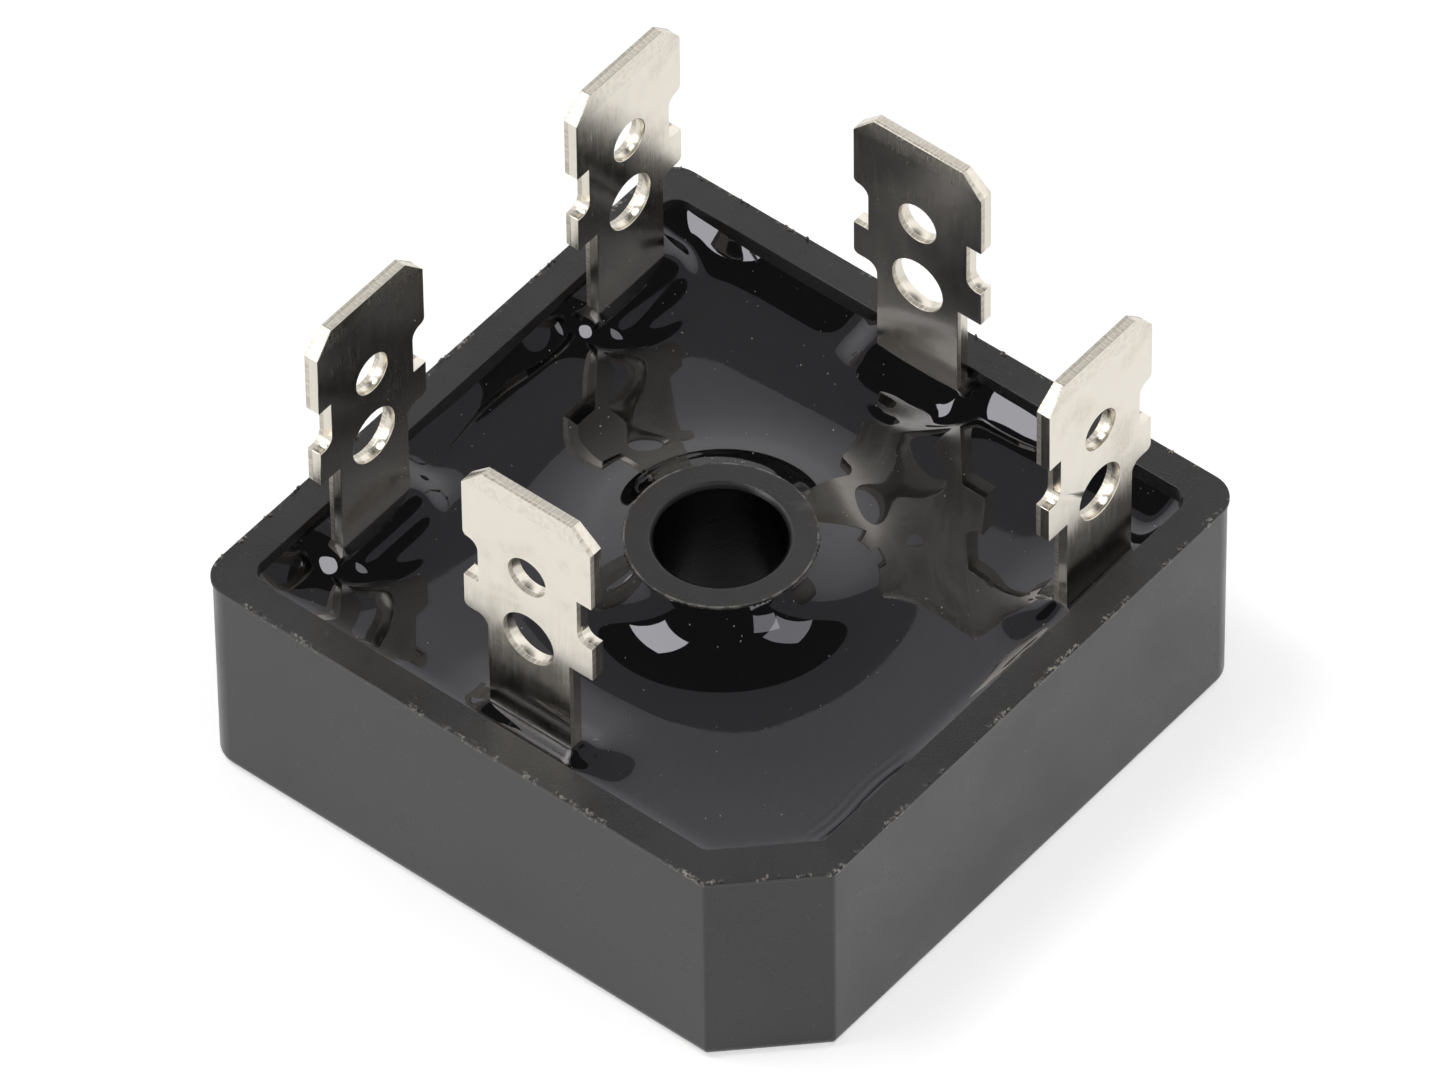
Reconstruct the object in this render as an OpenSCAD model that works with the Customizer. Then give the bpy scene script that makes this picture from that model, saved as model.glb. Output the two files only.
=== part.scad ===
// Three-phase bridge rectifier: a square moulded case with one chamfered corner, a metal base
// plate, six diode chips under three copper straps, five blade terminals and a resin filling.
// The part stands on z = 0 with the axis of its mounting hole on Z. The chamfered corner
// points to +X -Y, and blades are named after what they carry.

/* [Case] */
// Outside width of the square case
case_side = 28.5; // [28:0.1:34]
// Height of the case above the mounting surface
case_h = 10.1; // [9.6:0.1:13]
// Leg of the chamfer on the marked corner, along a side
corner_leg = 3.5; // [2.5:0.1:4.5]
// Radius of the three other upright corners
corner_r = 1.25; // [0.9:0.05:2]
// Rounding of the outer bottom edge
base_edge_r = 0.5; // [0.2:0.05:0.7]
// Wall thickness
wall = 1.35; // [1:0.05:1.6]
// Wall thickness behind the chamfer
corner_wall = 1.7; // [1.4:0.05:2.2]
// Corner radius of the pocket
pocket_r = 0.8; // [0.4:0.1:1.5]
// How far the moulding flash stands out of the rim
flash_out = 0.08; // [0.04:0.01:0.15]
// Height of the moulding flash
flash_h = 0.18; // [0.1:0.02:0.4]

/* [Mounting tube] */
// Diameter of the mounting hole
hole_d = 5.2; // [4.2:0.1:5.6]
// Outside diameter of the tube round the hole
tube_d = 7.6; // [7.2:0.1:8.2]
// Chamfer on the mouth of the hole
mouth = 0.2; // [0.1:0.05:0.4]
// Width of the bar that ties the tube to two walls
bar_w = 1.2; // [0.8:0.1:2]
// Height of that bar
bar_h = 2; // [1:0.1:2.4]
// Underside of that bar above the mounting surface
bar_z = 4.8; // [4.5:0.1:5.4]

/* [Base plate and substrate] */
// Thickness of the metal base plate
plate_t = 1.6; // [1.2:0.1:2]
// Gap between the plate and the pocket wall
plate_gap = 0.05; // [0.02:0.01:0.1]
// Width of the ledge that stops the plate
ledge_w = 0.9; // [0.6:0.05:1.1]
// Height of that ledge
ledge_h = 0.8; // [0.5:0.05:0.85]
// Thickness of the ceramic substrate
substrate_t = 0.6; // [0.4:0.05:0.8]
// Gap between the substrate and the ledge
substrate_gap = 0.2; // [0.1:0.05:0.4]
// Gap between the substrate and the tube
tube_gap = 0.3; // [0.1:0.05:0.5]
// Thickness of the copper foils on the substrate
foil_t = 0.3; // [0.2:0.05:0.4]
// Bare border of ceramic round the foils
foil_margin = 0.4; // [0.2:0.05:0.6]
// Bare strip of ceramic between the two foils
foil_split = 1.2; // [0.8:0.1:2]

/* [Diode chips and straps] */
// Side of a diode chip
chip_side = 3.4; // [2.6:0.1:3.4]
// Thickness of a soldered chip
chip_t = 0.35; // [0.25:0.05:0.5]
// Distance of the outer column's chips from the middle line
row_a = 4.2; // [4:0.1:4.4]
// Distance of the inner column's chips from the middle line
row_b = 8.4; // [8:0.1:8.8]
// Distance of the far column's chips from the middle line
row_c = 6.8; // [6:0.1:7.4]
// Width of a copper strap
strap_w = 2.6; // [2.2:0.1:2.7]
// Thickness of a copper strap
strap_t = 0.8; // [0.5:0.05:0.9]
// How far a strap runs past the middle of its end chip
strap_over = 1.5; // [1.2:0.1:1.6]
// Gap between two straps side by side
strap_gap = 0.6; // [0.4:0.05:0.8]
// Gap between a strap and the tube
strap_tube_gap = 0.7; // [0.4:0.05:0.8]

/* [Blade terminals] */
// Width of a blade
blade_w = 6.3; // [5.6:0.1:6.6]
// Thickness of a blade
blade_t = 0.65; // [0.5:0.05:0.8]
// Height of the blade tips above the mounting surface
tip_z = 21.75; // [20:0.25:26]
// Chamfer on the two tip corners
tip_chamfer = 0.95; // [0.5:0.05:1.3]
// Height of the thinned lead-in under the tip
lead_h = 0.85; // [0.4:0.05:1.2]
// How far the lead-in thins the blade on each face
lead_in = 0.08; // [0.04:0.01:0.15]
// Length of the head, from the tip to the notches
head_h = 3.87; // [3.4:0.05:4.4]
// Height of a notch
notch_h = 2.25; // [1.6:0.05:2.6]
// Depth of a notch
notch_in = 0.72; // [0.6:0.02:0.8]
// Fillet at the rounded ends of the notches and shoulder
notch_r = 0.5; // [0.3:0.05:0.6]
// Rounding of the blunt outer corners
blunt_r = 0.25; // [0.1:0.05:0.3]
// Height of the stop tabs under the notches
tab_h = 1.72; // [1.2:0.05:2]
// Width of the leg
leg_w = 4; // [3.4:0.1:4.4]
// Diameter of the upper hole
upper_d = 1.85; // [1.4:0.05:2.1]
// Distance of the upper hole from the tip
upper_drop = 4.2; // [4:0.05:4.4]
// Diameter of the lower hole
lower_d = 2.5; // [2:0.05:2.7]
// Distance of the lower hole from the tip
lower_drop = 7.65; // [7.4:0.05:7.9]
// Inside radius of the bend above the foot
bend_r = 0.4; // [0.2:0.05:0.6]
// Length of the flat foot past its bend
foot_l = 1.7; // [1.2:0.1:1.9]

/* [Blade places] */
// Middle of blade A from the -X pocket wall
inset_a = 1.25; // [0.8:0.05:1.5]
// Distance of blade A from the middle of that wall
along_a = -7.1; // [-7.4:0.1:-6.6]
// Middle of blade B from the -X pocket wall
inset_b = 1.1; // [0.8:0.05:1.5]
// Distance of blade B from the middle of that wall
along_b = 8.6; // [8.3:0.1:8.9]
// Middle of blade C from the +Y pocket wall
inset_c = 0.5; // [0.5:0.05:1.5]
// Distance of blade C from the middle of that wall
along_c = 0; // [-0.8:0.1:0.8]
// Middle of the positive blade from the -Y pocket wall
inset_plus = 1.7; // [0.8:0.05:2]
// Distance of the positive blade from the middle of that wall
along_plus = 0; // [-0.8:0.1:0.8]
// Middle of the negative blade from the +X pocket wall
inset_minus = 1; // [0.8:0.05:1.5]
// Distance of the negative blade from the middle of that wall
along_minus = 8; // [7:0.1:8.6]

/* [Resin filling] */
// Depth of the resin surface below the rim, in the open
fill_drop = 1.2; // [0.8:0.05:1.6]
// How high the resin creeps up the walls
wall_rise = 0.9; // [0.4:0.05:0.95]
// Width of that creep
wall_run = 1.8; // [1:0.1:2.5]
// How high the resin creeps up the tube
collar_rise = 0.7; // [0.3:0.05:0.75]
// Width of that creep
collar_run = 1.5; // [0.8:0.1:2]
// Width of the slope of a mound round a blade
mound_run = 1.1; // [0.6:0.1:1.4]
// Height of the mound at blade A
rise_a = 0.25; // [0.1:0.05:0.7]
// Height of the mound at blade B
rise_b = 0.2; // [0.1:0.05:0.7]
// Height of the mound at blade C
rise_c = 0.75; // [0.3:0.05:0.78]
// Height of the mound at the positive blade
rise_plus = 0.55; // [0.3:0.05:0.75]
// Height of the mound at the negative blade
rise_minus = 0.76; // [0.3:0.02:0.78]

/* [Hidden] */
$fn = 64;
over = 0.2;

pocket_side = case_side - 2 * wall;
pocket_half = pocket_side / 2;
pocket_leg = corner_leg - 2 * wall + corner_wall * sqrt(2);
ledge_side = pocket_side - 2 * ledge_w;
ledge_leg = inset_leg(pocket_leg, ledge_w);
ledge_top = plate_t + ledge_h;
plate_side = pocket_side - 2 * plate_gap;
sheet_side = ledge_side - 2 * substrate_gap;
sheet_leg = inset_leg(ledge_leg, substrate_gap);
sheet_r = 0.3;
sheet_hole_d = tube_d + 2 * tube_gap;
foil_side = sheet_side - 2 * foil_margin;
foil_leg = inset_leg(sheet_leg, foil_margin);
foil_hole_d = sheet_hole_d + 2 * foil_margin;

foil_z = plate_t + substrate_t;
chip_z = foil_z + foil_t;
strap_z = chip_z + chip_t;
foot_z = strap_z + strap_t;

column_b = -(tube_d / 2 + strap_tube_gap + strap_w / 2);
column_a = column_b - strap_w - strap_gap;
column_c = tube_d / 2 + strap_tube_gap + strap_w / 2;

blade_a_x = -(pocket_half - inset_a);
blade_b_x = -(pocket_half - inset_b);
blade_c_y = pocket_half - inset_c;
blade_plus_y = -(pocket_half - inset_plus);
blade_minus_x = pocket_half - inset_minus;

notch_z = tip_z - head_h;
tab_z = notch_z - notch_h;
shoulder_z = tab_z - tab_h;
fill_z = case_h - fill_drop;

// Leg of the chamfer after its outline is moved inwards by d
function inset_leg(leg, d) = leg - d * (2 - sqrt(2));

// Square with three rounded corners and a chamfer at +X -Y
module outline(side, leg, r) {
    difference() {
        union() {
            square([side, side - 2 * r], center = true);
            square([side - 2 * r, side], center = true);
            for (x = [-1, 1], y = [-1, 1])
                translate([x * (side / 2 - r), y * (side / 2 - r)])
                    circle(r);
        }
        translate([side / 2, -side / 2])
            rotate(45)
                square(leg * sqrt(2), center = true);
    }
}

// Section of what a rounding takes off an edge: x runs inwards, y runs up
module cove(r) {
    difference() {
        translate([-over, -over])
            square(r + over);
        translate([r, r])
            circle(r);
    }
}

// Straight stretch of that cut, on the -X side and from y0 to y1
module cove_run(half, y0, y1) {
    translate([-half, y1, 0])
        rotate([90, 0, 0])
            linear_extrude(y1 - y0)
                cove(base_edge_r);
}

// All that the rounding takes off the bottom edge of the case
module bottom_coves() {
    half = case_side / 2;
    arc = half - corner_r;
    cut = half - corner_leg + over;
    cove_run(half, -arc, arc);
    rotate(90)
        cove_run(half, -cut, arc);
    rotate(180)
        cove_run(half, -arc, cut);
    rotate(270)
        cove_run(half, -arc, arc);
    translate([half - corner_leg / 2, corner_leg / 2 - half, 0])
        rotate([90, 0, 135])
            linear_extrude(corner_leg * sqrt(2) + 2 * over, center = true)
                cove(base_edge_r);
    for (turn = [0, 90, 180])
        rotate(turn)
            translate([arc, arc, 0])
                rotate_extrude(angle = 90)
                    translate([corner_r, 0])
                        mirror([1, 0])
                            cove(base_edge_r);
}

// Outside of the case, with its rounded bottom edge and the flash on its rim
module case_block() {
    difference() {
        linear_extrude(case_h)
            outline(case_side, corner_leg, corner_r);
        bottom_coves();
    }
    translate([0, 0, case_h - flash_h])
        linear_extrude(flash_h)
            outline(case_side + 2 * flash_out, inset_leg(corner_leg, -flash_out), corner_r + flash_out);
}

// Tube round the mounting hole, with the bar that ties it to two walls
module tube_and_bar() {
    translate([0, 0, plate_t])
        cylinder(d = tube_d, h = case_h - plate_t);
    translate([-pocket_half - over, -bar_w / 2, bar_z])
        cube([pocket_side + 2 * over, bar_w, bar_h]);
}

// Pocket of the case from z0 to z1
module pocket(z0, z1) {
    translate([0, 0, z0])
        linear_extrude(z1 - z0)
            outline(pocket_side, pocket_leg, pocket_r);
}

// Ledge that the base plate is pushed against
module ledge() {
    difference() {
        pocket(plate_t, ledge_top);
        translate([0, 0, plate_t - over])
            linear_extrude(ledge_h + 2 * over)
                outline(ledge_side, ledge_leg, pocket_r);
    }
}

// Moulded case: walls, ledge, tube and bar in one piece
module case() {
    color("#3f3f42")
        difference() {
            union() {
                difference() {
                    case_block();
                    pocket(-over, case_h + over);
                }
                ledge();
                tube_and_bar();
            }
            translate([0, 0, -over])
                cylinder(d = hole_d, h = case_h + 2 * over);
            translate([0, 0, case_h - mouth])
                cylinder(d1 = hole_d, d2 = hole_d + 2 * (mouth + over), h = mouth + over);
        }
}

// Aluminium plate that closes the case and carries heat away
module base_plate() {
    color("#b9bbbd")
        difference() {
            linear_extrude(plate_t)
                outline(plate_side, inset_leg(pocket_leg, plate_gap), pocket_r);
            translate([0, 0, -over])
                cylinder(d = hole_d, h = plate_t + 2 * over);
        }
}

// Ceramic sheet between the plate and the live parts
module substrate() {
    color("#e9e6dc")
        translate([0, 0, plate_t])
            difference() {
                linear_extrude(substrate_t)
                    outline(sheet_side, sheet_leg, sheet_r);
                translate([0, 0, -over])
                    cylinder(d = sheet_hole_d, h = substrate_t + 2 * over);
            }
}

// Copper foil on one half of the ceramic: side is -1 or +1 along Y
module foil(side) {
    translate([0, 0, foil_z])
        difference() {
            linear_extrude(foil_t)
                intersection() {
                    outline(foil_side, foil_leg, sheet_r);
                    translate([0, side * (foil_split + foil_side) / 2])
                        square(foil_side, center = true);
                }
            translate([0, 0, -over])
                cylinder(d = foil_hole_d, h = foil_t + 2 * over);
        }
}

module positive_foil() {
    color("#b87333")
        foil(-1);
}

module negative_foil() {
    color("#b87333")
        foil(1);
}

// Soldered diode chip with its middle at x, y
module chip(x, y) {
    color("#6d7078")
        translate([x - chip_side / 2, y - chip_side / 2, chip_z])
            cube([chip_side, chip_side, chip_t]);
}

// Flat copper rectangle of a strap between two corners
module strap_leaf(x0, y0, x1, y1) {
    translate([min(x0, x1), min(y0, y1), strap_z])
        cube([abs(x1 - x0), abs(y1 - y0), strap_t]);
}

// Strap from its two chips to the foot of blade A
module strap_a() {
    color("#c58a4a") {
        strap_leaf(column_a - strap_w / 2, -row_a - strap_over, column_a + strap_w / 2, row_a + strap_over);
        strap_leaf(blade_a_x - blade_t / 2, along_a - leg_w / 2, column_a + strap_w / 2, along_a + leg_w / 2);
    }
}

// Strap from its two chips to the foot of blade B
module strap_b() {
    color("#c58a4a") {
        strap_leaf(column_b - strap_w / 2, -row_b - strap_over, column_b + strap_w / 2, along_b + leg_w / 2);
        strap_leaf(blade_b_x - blade_t / 2, along_b - leg_w / 2, column_b + strap_w / 2, along_b + leg_w / 2);
    }
}

// Strap from its two chips to the foot of blade C
module strap_c() {
    back = blade_c_y + blade_t / 2;
    front = back - blade_t - bend_r - foot_l;
    color("#c58a4a") {
        strap_leaf(column_c - strap_w / 2, -row_c - strap_over, column_c + strap_w / 2, back);
        strap_leaf(along_c - leg_w / 2, front, column_c + strap_w / 2, back);
    }
}

// Fillet in the inner corner at the origin, towards +X +Y
module corner_fill(r) {
    difference() {
        square(r);
        translate([r, r])
            circle(r);
    }
}

// Left edge cuts of a blade: a notch rounded above and square below, then a rounded shoulder
module left_cuts(low) {
    edge = -blade_w / 2;
    translate([edge - over, tab_z])
        difference() {
            square([notch_in + over, notch_h]);
            translate([notch_in + over, notch_h])
                rotate(180)
                    corner_fill(notch_r);
        }
    translate([edge - over, low - over])
        difference() {
            square([(blade_w - leg_w) / 2 + over, shoulder_z - low + over]);
            translate([(blade_w - leg_w) / 2 + over, shoulder_z - low + over])
                rotate(180)
                    corner_fill(notch_r);
        }
    translate([edge, notch_z])
        cove(blunt_r);
    translate([edge, shoulder_z])
        cove(blunt_r);
}

// Right edge cuts of a blade: a notch square above and rounded below, then a square shoulder
module right_cuts(low) {
    edge = blade_w / 2;
    translate([edge - notch_in, tab_z])
        difference() {
            square([notch_in + over, notch_h]);
            corner_fill(notch_r);
        }
    translate([leg_w / 2, low - over])
        square([(blade_w - leg_w) / 2 + over, shoulder_z - low + over]);
}

// Flat outline of a blade from height low up to its tip
module blade_outline(low) {
    half = blade_w / 2;
    difference() {
        polygon([
            [-half, low], [half, low],
            [half, tip_z - tip_chamfer], [half - tip_chamfer, tip_z],
            [tip_chamfer - half, tip_z], [-half, tip_z - tip_chamfer]
        ]);
        left_cuts(low);
        right_cuts(low);
        translate([0, tip_z - upper_drop])
            circle(d = upper_d);
        translate([0, tip_z - lower_drop])
            circle(d = lower_d);
    }
}

// Section through a blade's thickness, with the lead-in under the tip
module lead_section(low) {
    half = blade_t / 2;
    polygon([
        [-half, low], [half, low],
        [half, tip_z - lead_h], [half - lead_in, tip_z],
        [lead_in - half, tip_z], [-half, tip_z - lead_h]
    ]);
}

// Stamped blade, faces along Y, bent at its lower end into a foot that rests at height z.
// The foot points to +Y for turn = 1 and to -Y for turn = -1.
module blade(z, turn) {
    low = z + blade_t + bend_r;
    intersection() {
        rotate([90, 0, 0])
            linear_extrude(blade_t, center = true)
                blade_outline(low);
        rotate([90, 0, 90])
            linear_extrude(blade_w + 2 * over, center = true)
                lead_section(low);
    }
    mirror([0, turn < 0 ? 1 : 0, 0]) {
        translate([0, blade_t / 2 + bend_r, low])
            rotate([0, 90, 0])
                rotate(-90)
                    rotate_extrude(angle = 90)
                        translate([bend_r, -leg_w / 2])
                            square([blade_t, leg_w]);
        translate([-leg_w / 2, blade_t / 2 + bend_r, z])
            cube([leg_w, foot_l, blade_t]);
    }
}

module terminal_a() {
    color("#cfc9c0")
        translate([blade_a_x, along_a, 0])
            rotate(-90)
                blade(foot_z, 1);
}

module terminal_b() {
    color("#cfc9c0")
        translate([blade_b_x, along_b, 0])
            rotate(-90)
                blade(foot_z, 1);
}

module terminal_c() {
    color("#cfc9c0")
        translate([along_c, blade_c_y, 0])
            blade(foot_z, -1);
}

module terminal_plus() {
    color("#cfc9c0")
        translate([along_plus, blade_plus_y, 0])
            blade(chip_z, 1);
}

module terminal_minus() {
    color("#cfc9c0")
        translate([blade_minus_x, along_minus, 0])
            rotate(-90)
                blade(chip_z, -1);
}

// Everything that the resin flows round
module embedded() {
    ledge();
    tube_and_bar();
    substrate();
    positive_foil();
    negative_foil();
    for (side = [-1, 1]) {
        chip(column_a, side * row_a);
        chip(column_b, side * row_b);
        chip(column_c, side * row_c);
    }
    strap_a();
    strap_b();
    strap_c();
    terminal_a();
    terminal_b();
    terminal_c();
    terminal_plus();
    terminal_minus();
}

// Hollow of the resin surface: eight sloped sides that climb to the walls and corners
module dish() {
    reach = pocket_half - wall_run;
    corner_reach = (pocket_side - pocket_leg) / sqrt(2) - wall_run;
    intersection_for (turn = [0, 45, 90, 135]) {
        low = turn % 90 == 0 ? reach : corner_reach;
        rotate([90, 0, turn])
            linear_extrude(2 * case_side, center = true)
                polygon([
                    [-low, fill_z], [low, fill_z],
                    [low + 2 * wall_run, fill_z + 2 * wall_rise],
                    [-low - 2 * wall_run, fill_z + 2 * wall_rise]
                ]);
    }
}

// Mound of resin round a blade
module mound(x, y, rise) {
    translate([x, y, fill_z - over])
        cylinder(r = leg_w / 2 + mound_run, h = over);
    translate([x, y, fill_z])
        cylinder(r1 = leg_w / 2 + mound_run, r2 = leg_w / 2, h = rise);
}

// Collar of resin that has crept up the tube
module collar() {
    translate([0, 0, fill_z])
        cylinder(d1 = tube_d + 2 * collar_run, d2 = tube_d, h = collar_rise);
}

// Cast resin with its hollow surface, cut where it flows round the inner pieces
module resin_filling() {
    color("#1a1a1d")
        difference() {
            intersection() {
                pocket(plate_t, case_h);
                union() {
                    difference() {
                        pocket(plate_t, fill_z + wall_rise);
                        dish();
                    }
                    mound(blade_a_x, along_a, rise_a);
                    mound(blade_b_x, along_b, rise_b);
                    mound(along_c, blade_c_y, rise_c);
                    mound(along_plus, blade_plus_y, rise_plus);
                    mound(blade_minus_x, along_minus, rise_minus);
                    collar();
                }
            }
            embedded();
        }
}

case();
base_plate();
substrate();
positive_foil();
negative_foil();
chip(column_a, -row_a);  // diode_a_plus
chip(column_a, row_a);  // diode_a_minus
chip(column_b, -row_b);  // diode_b_plus
chip(column_b, row_b);  // diode_b_minus
chip(column_c, -row_c);  // diode_c_plus
chip(column_c, row_c);  // diode_c_minus
strap_a();
strap_b();
strap_c();
terminal_a();
terminal_b();
terminal_c();
terminal_plus();
terminal_minus();
resin_filling();
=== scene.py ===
"""Dressed scene of a potted bridge rectifier with five upright blade terminals.

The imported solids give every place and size. This script gives them their finishes, swaps the
plain resin block for one with the real creeping surface, rounds the edges of the moulding and
of the stamped blades, and adds moulding flash and dust.
"""

import logging
import math
from dataclasses import dataclass, field
from enum import Enum
from typing import Any

import bmesh
import bpy
import numpy as np
from mathutils import Matrix, Vector


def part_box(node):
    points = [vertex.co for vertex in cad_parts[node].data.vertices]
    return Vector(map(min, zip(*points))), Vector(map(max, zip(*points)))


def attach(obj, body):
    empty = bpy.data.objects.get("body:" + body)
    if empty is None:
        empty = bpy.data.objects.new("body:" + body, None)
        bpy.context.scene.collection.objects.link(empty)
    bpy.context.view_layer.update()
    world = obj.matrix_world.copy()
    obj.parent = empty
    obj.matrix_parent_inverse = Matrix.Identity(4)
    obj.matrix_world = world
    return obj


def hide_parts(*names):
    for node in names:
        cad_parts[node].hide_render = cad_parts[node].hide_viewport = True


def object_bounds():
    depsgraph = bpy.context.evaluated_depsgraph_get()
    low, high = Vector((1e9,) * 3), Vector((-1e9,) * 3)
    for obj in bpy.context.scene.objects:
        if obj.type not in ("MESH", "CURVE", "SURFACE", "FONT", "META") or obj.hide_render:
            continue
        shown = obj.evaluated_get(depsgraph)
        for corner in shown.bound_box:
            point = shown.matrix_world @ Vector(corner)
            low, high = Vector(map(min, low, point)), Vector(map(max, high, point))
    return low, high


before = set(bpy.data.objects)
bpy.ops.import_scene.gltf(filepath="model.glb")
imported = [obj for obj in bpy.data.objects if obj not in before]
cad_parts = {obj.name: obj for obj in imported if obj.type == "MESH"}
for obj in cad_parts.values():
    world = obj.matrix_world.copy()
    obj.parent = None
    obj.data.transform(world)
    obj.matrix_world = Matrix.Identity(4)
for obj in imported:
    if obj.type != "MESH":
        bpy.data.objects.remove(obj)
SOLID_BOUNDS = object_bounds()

MM = 0.001
TUBE_RADIUS = 3.8 * MM
WATTS_PER_RADIANCE = 4
log = logging.getLogger("bridge_rectifier")


class Facing(Enum):
    """The axis that a blade's two wide faces look along."""

    X = 0
    Y = 1


class Kind(Enum):
    """The kinds of node that the finishes and the strewing tree use."""

    PLACE = "ShaderNodeTexCoord"
    SURFACE = "ShaderNodeNewGeometry"
    MAPPING = "ShaderNodeMapping"
    SPLIT = "ShaderNodeSeparateXYZ"
    VECTOR = "ShaderNodeVectorMath"
    MATH = "ShaderNodeMath"
    RANGE = "ShaderNodeMapRange"
    MIX = "ShaderNodeMix"
    NOISE = "ShaderNodeTexNoise"
    BUMP = "ShaderNodeBump"
    LIGHT_PATH = "ShaderNodeLightPath"
    SHADER = "ShaderNodeBsdfPrincipled"
    CLEAR = "ShaderNodeBsdfTransparent"
    BLEND = "ShaderNodeMixShader"
    OUTPUT = "ShaderNodeOutputMaterial"
    GROUP_IN = "NodeGroupInput"
    GROUP_OUT = "NodeGroupOutput"
    COMPARE = "FunctionNodeCompare"
    RANDOM = "FunctionNodeRandomValue"
    TO_CURVE = "GeometryNodeMeshToCurve"
    CURVE_POINTS = "GeometryNodeCurveToPoints"
    FACE_POINTS = "GeometryNodeDistributePointsOnFaces"
    NORMAL = "GeometryNodeInputNormal"
    POSITION = "GeometryNodeInputPosition"
    MOVE = "GeometryNodeSetPosition"
    GRAIN = "GeometryNodeMeshIcoSphere"
    INSTANCES = "GeometryNodeInstanceOnPoints"
    REALIZE = "GeometryNodeRealizeInstances"
    DRESS = "GeometryNodeSetMaterial"


SMOOTH = {"interpolation_type": "SMOOTHSTEP"}
COLOUR = {"data_type": "RGBA"}
TIMES = {"operation": "MULTIPLY"}
PLUS = {"operation": "ADD"}
LARGER = {"operation": "MAXIMUM"}
ABOVE = {"data_type": "FLOAT", "operation": "GREATER_THAN"}

# Most values of a noise pattern lie between these two.
MIDDLE = (0.3, 0.7)


def linear(code: str) -> tuple[float, float, float, float]:
    """Turn an sRGB hex code into a linear colour.

    Args:
        code: Colour such as "#d9d3cb".

    Returns:
        Linear red, green, blue and an alpha of one.
    """
    parts = [int(code[i : i + 2], 16) / 255 for i in (1, 3, 5)]
    return (*(c / 12.92 if c <= 0.04045 else ((c + 0.055) / 1.055) ** 2.4 for c in parts), 1.0)


def per_grain(grain_mm: float) -> float:
    """Give the scale of a pattern on metre coordinates for grains of this size."""
    return 1 / (grain_mm * MM)


def add(tree: Any, kind: Kind, *values: Any, named: dict[str, Any] | None = None, **settings: Any) -> Any:
    """Add one node with its settings and links.

    Args:
        tree: Node tree that takes the node.
        kind: Kind of node.
        values: What the inputs in use take, in order: a number, a colour, a socket, or a node,
            which gives its first output in use. None leaves an input alone.
        named: What further inputs take, by name.
        settings: The node's own settings by name.

    Returns:
        The new node.
    """
    node = tree.nodes.new(kind.value)
    for name, setting in settings.items():
        setattr(node, name, setting)
    sockets = [socket for socket in node.inputs if socket.enabled]
    pairs = [*zip(sockets, values), *((node.inputs[key], value) for key, value in (named or {}).items())]
    for socket, value in pairs:
        if isinstance(value, bpy.types.Node):
            value = next(output for output in value.outputs if output.enabled)
        if isinstance(value, bpy.types.NodeSocket):
            tree.links.new(value, socket)
        elif value is not None:
            socket.default_value = value
    return node


def blank_material(name: str) -> tuple[bpy.types.Material, Any, Any]:
    """Start a material with an empty tree.

    Args:
        name: Name of the material.

    Returns:
        The material, its tree and the Object coordinate socket.
    """
    material = bpy.data.materials.new(name)
    material.use_nodes = True
    tree = material.node_tree
    tree.nodes.clear()
    return material, tree, add(tree, Kind.PLACE).outputs["Object"]


def layered(tree: Any, tone: str, *layers: tuple[Any, str]) -> Any:
    """Lay tones over a ground tone, each as strongly as its mask says.

    Args:
        tree: Node tree that takes the nodes.
        tone: The ground tone.
        layers: The mask and the tone of each layer, from the ground up.

    Returns:
        The node that gives the colour.
    """
    colour = linear(tone)
    for mask, cover in layers:
        colour = add(tree, Kind.MIX, mask, colour, linear(cover), **COLOUR)
    return colour


@dataclass(frozen=True)
class Patches:
    """Irregular patches with soft borders, as a mask that goes from least to most.

    The noise has grains of grain_mm. A patch begins at one of its values and is full at another.
    """

    grain_mm: float
    detail: float
    roughness: float
    begins: float
    full: float
    least: float = 0.0
    most: float = 1.0

    def build(self, tree: Any, place: Any) -> Any:
        """Add the mask to a tree.

        Args:
            tree: Node tree that takes the nodes.
            place: Coordinates of the pattern.

        Returns:
            The node that gives the mask.
        """
        noise = add(tree, Kind.NOISE, place, per_grain(self.grain_mm), self.detail, self.roughness)
        return add(tree, Kind.RANGE, noise, self.begins, self.full, self.least, self.most, **SMOOTH)


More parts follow.
